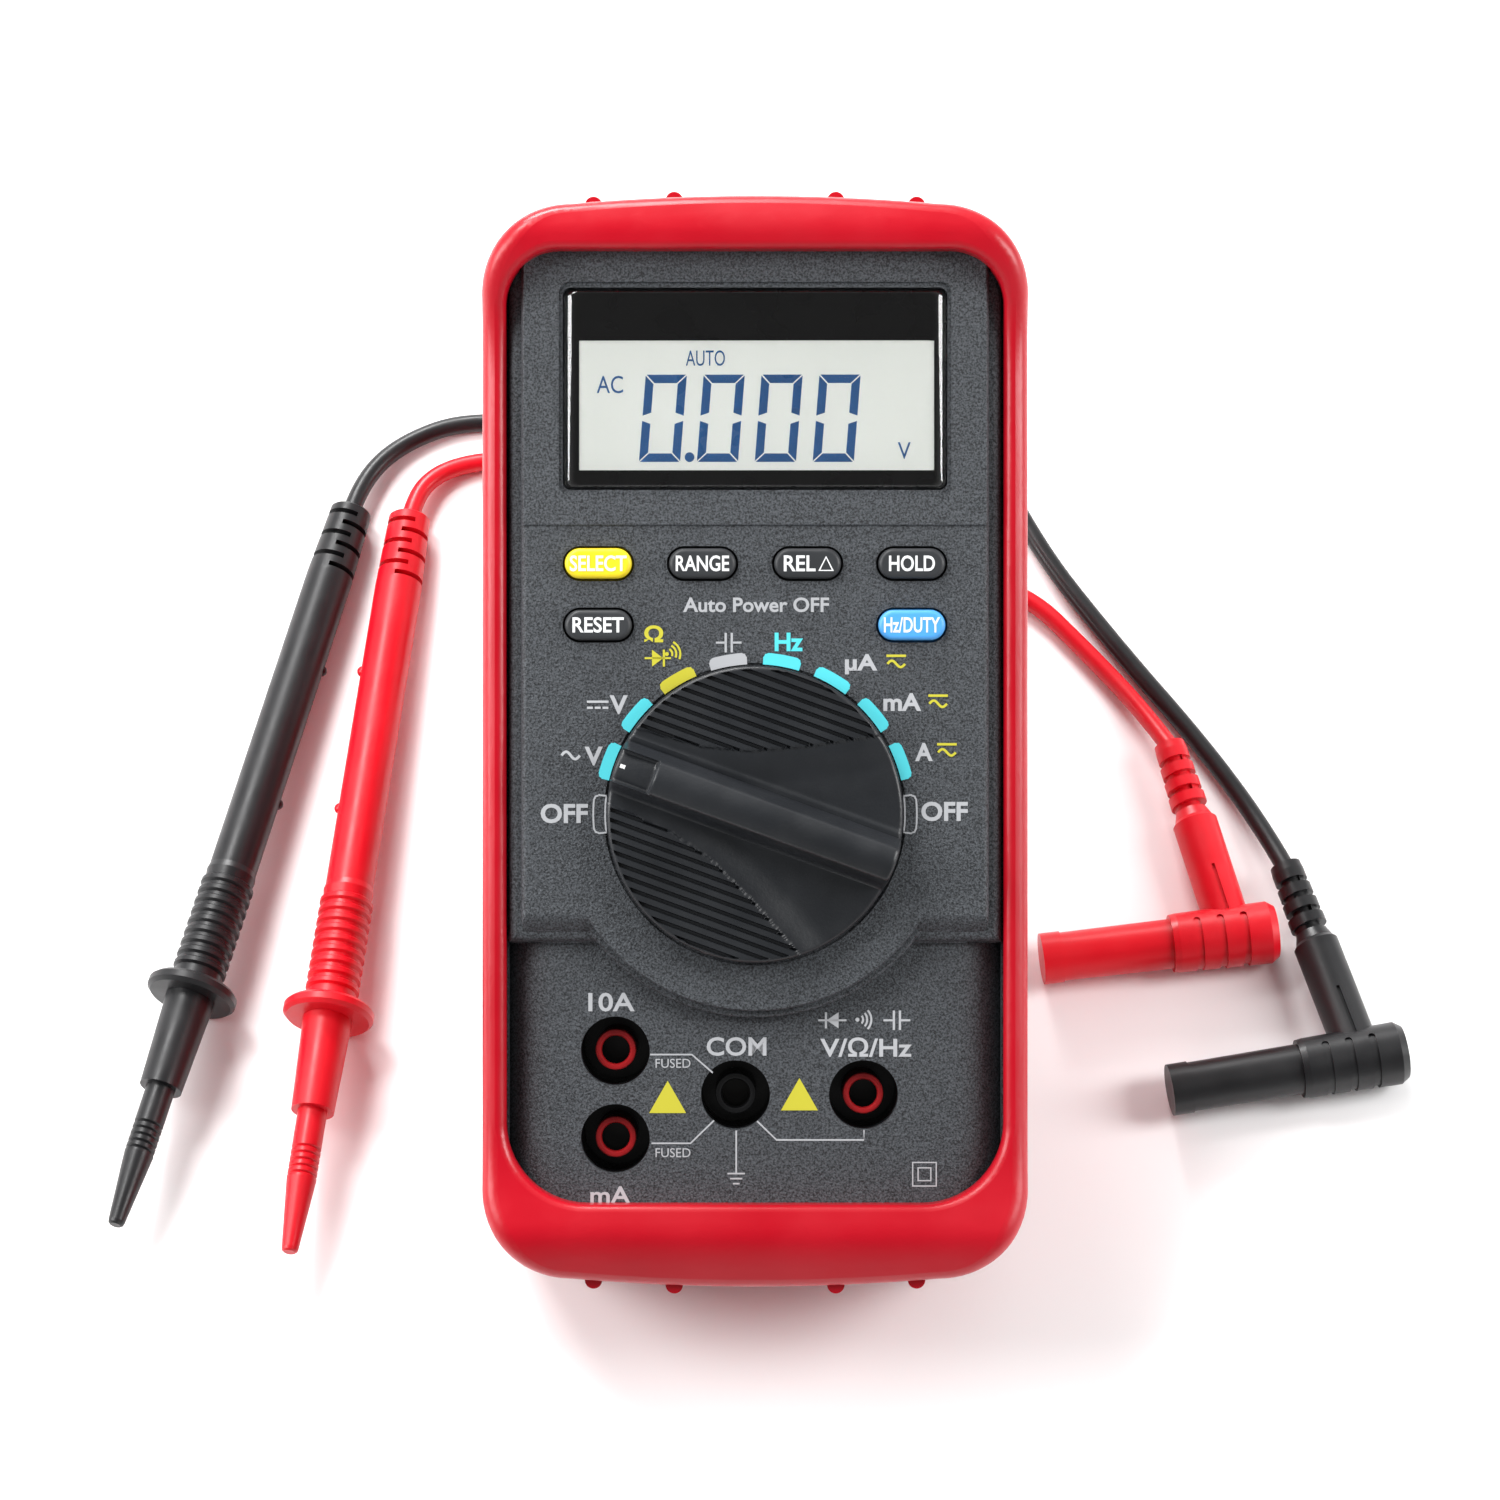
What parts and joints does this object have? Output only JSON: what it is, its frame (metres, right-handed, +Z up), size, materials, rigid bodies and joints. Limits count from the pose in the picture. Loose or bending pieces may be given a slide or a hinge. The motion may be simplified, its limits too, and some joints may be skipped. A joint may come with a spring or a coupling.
{
  "type": "digital multimeter",
  "caption": "Handheld digital multimeter in a rubber boot, leaning on its tilt stand, with a rotary selector, keys, input jacks and a pair of test leads.",
  "frame": {"origin": "bench level, below the centre of the leaning meter's own box, leads left out", "axes": "+Z up, +Y from the meter's bottom end towards its top end along the bench, +X to the right as the face is read"},
  "size_m": [0.2018, 0.1778, 0.1027],
  "materials": {
    "boot_rubber": "satin moulded rubber, deep red",
    "case_plastic": "fine textured dark grey",
    "stand_plastic": "dark grey",
    "steel": "plain",
    "clear_lens": "clear moulded window",
    "black_mask": "gloss black print",
    "lcd": "pale grey-green display",
    "inner_plastic": "natural",
    "silicone": "grey silicone",
    "key_yellow": "yellow",
    "key_grey": "dark grey",
    "key_blue": "blue",
    "knob_plastic": "dark grey",
    "black_plastic": "black",
    "red_plastic": "red",
    "brass": "nickel-plated",
    "copper": "copper",
    "circuit_board": "green solder mask",
    "ceramic": "white ceramic",
    "battery_skin": "plain printed wrap",
    "lead_black": "black",
    "lead_red": "red"
  },
  "bodies": {
    "meter": {"battery_9v": "battery_skin", "battery_contacts": "brass", "battery_door": "case_plastic", "black_cord_coil": "lead_black", "black_plug_body": "lead_black", "black_plug_cord": "lead_black", "black_plug_pin": "brass", "black_probe_body": "lead_black", "black_probe_cord": "lead_black", "black_probe_tip": "brass", "buzzer": "black_plastic", "case_screws": "steel", "current_shunt": "copper", "display_lens": "clear_lens", "display_mask": "black_mask", "door_screw": "steel", "front_case": "case_plastic", "fuse_10a": "ceramic", "fuse_500ma": "ceramic", "fuse_clips": "brass", "holster": "boot_rubber", "input_parts": "ceramic", "jack_post_black": "black_plastic", "jack_posts_red": "red_plastic", "jack_sleeves": "brass", "jack_tabs": "copper", "jack_wells": "black_plastic", "keypad_mat": "silicone", "lcd_frame": "inner_plastic", "lcd_glass": "lcd", "main_pcb": "circuit_board", "meter_chip": "black_plastic", "pcb_screws": "steel", "rear_case": "case_plastic", "red_cord_coil": "lead_red", "red_plug_body": "lead_red", "red_plug_cord": "lead_red", "red_plug_pin": "brass", "red_probe_body": "lead_red", "red_probe_cord": "lead_red", "red_probe_tip": "brass", "stand_pin": "steel", "zebra_strips": "silicone"},
    "selector": {"selector_knob": "knob_plastic", "rotor_carrier": "inner_plastic", "detent_spring": "steel", "wiper_contacts": "copper"},
    "stand": {"tilt_stand": "stand_plastic"},
    "button_frequency": {"button_frequency": "key_blue"},
    "button_hold": {"button_hold": "key_grey"},
    "button_range": {"button_range": "key_grey"},
    "button_relative": {"button_relative": "key_grey"},
    "button_reset": {"button_reset": "key_grey"},
    "button_select": {"button_select": "key_yellow"},
    "black_tip_cap": {"black_tip_cap": "lead_black"},
    "black_plug_cap": {"black_plug_cap": "lead_black"},
    "red_tip_cap": {"red_tip_cap": "lead_red"},
    "red_plug_cap": {"red_plug_cap": "lead_red"}
  },
  "joints": [
    {"name": "selector_turn", "type": "hinge", "parent": "meter", "child": "selector", "pos_m": [0, -0.01692, 0.06131], "axis": [0, -0.4226, 0.9063], "range_deg": [-160, 20]},
    {"name": "stand_fold", "type": "hinge", "parent": "meter", "child": "stand", "pos_m": [0, 0.02258, 0.04309], "axis": [1, 0, 0], "range_deg": [-75, 0]},
    {"name": "button_frequency_press", "type": "slide", "parent": "meter", "child": "button_frequency", "axis": [0, 0.4226, -0.9063], "range_m": [0, 0.0008], "stiffness_N_per_m": 800},
    {"name": "button_hold_press", "type": "slide", "parent": "meter", "child": "button_hold", "axis": [0, 0.4226, -0.9063], "range_m": [0, 0.0008], "stiffness_N_per_m": 800},
    {"name": "button_range_press", "type": "slide", "parent": "meter", "child": "button_range", "axis": [0, 0.4226, -0.9063], "range_m": [0, 0.0008], "stiffness_N_per_m": 800},
    {"name": "button_relative_press", "type": "slide", "parent": "meter", "child": "button_relative", "axis": [0, 0.4226, -0.9063], "range_m": [0, 0.0008], "stiffness_N_per_m": 800},
    {"name": "button_reset_press", "type": "slide", "parent": "meter", "child": "button_reset", "axis": [0, 0.4226, -0.9063], "range_m": [0, 0.0008], "stiffness_N_per_m": 800},
    {"name": "button_select_press", "type": "slide", "parent": "meter", "child": "button_select", "axis": [0, 0.4226, -0.9063], "range_m": [0, 0.0008], "stiffness_N_per_m": 800},
    {"name": "black_tip_cap_pull", "type": "slide", "parent": "meter", "child": "black_tip_cap", "axis": [-0.2434, -0.969, 0.0416], "range_m": [0, 0.022]},
    {"name": "red_tip_cap_pull", "type": "slide", "parent": "meter", "child": "red_tip_cap", "axis": [-0.1112, -0.9929, 0.0416], "range_m": [0, 0.022]},
    {"name": "black_plug_cap_pull", "type": "slide", "parent": "meter", "child": "black_plug_cap", "axis": [-0.9851, -0.1719, 0], "range_m": [0, 0.022]},
    {"name": "red_plug_cap_pull", "type": "slide", "parent": "meter", "child": "red_plug_cap", "axis": [-0.9921, -0.1253, 0], "range_m": [0, 0.022]}
  ]
}
